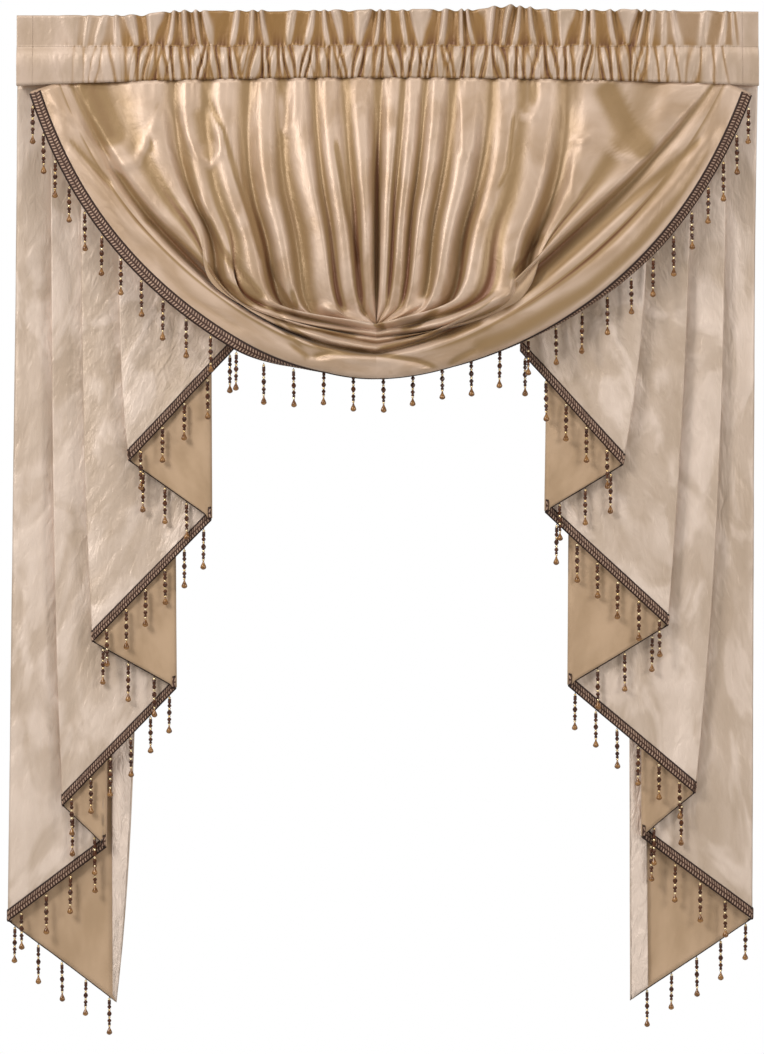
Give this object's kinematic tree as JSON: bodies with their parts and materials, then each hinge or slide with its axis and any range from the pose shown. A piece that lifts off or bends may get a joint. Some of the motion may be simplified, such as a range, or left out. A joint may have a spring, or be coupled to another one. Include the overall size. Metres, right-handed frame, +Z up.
{
  "type": "swag and tail drape",
  "caption": "Window drape with a gathered rod pocket heading, a draped swag and two pleated zigzag tails edged with braid and hanging bead strands.",
  "frame": {"origin": "middle of the rod pocket, on the rod's axis", "axes": "+Z up, +Y away from the viewer towards the window, +X to the viewer's right along the rod"},
  "size_m": [1.2147, 0.159, 1.6675],
  "materials": {
    "heading_satin": "gathered polyester satin, champagne gold",
    "swag_satin": "draped polyester satin, champagne gold, bright sheen",
    "tail_satin": "pleated polyester satin, pale pinkish champagne face, matte tan reverse",
    "bead_braid": "dark brown gimp braid with strands of brown, gold and amber glass beads"
  },
  "bodies": {
    "root": {"heading": "heading_satin", "swag": "swag_satin", "tail_left": "tail_satin", "tail_right": "tail_satin", "swag_fringe": "bead_braid", "tail_left_fringe": "bead_braid", "tail_right_fringe": "bead_braid"}
  },
  "joints": []
}
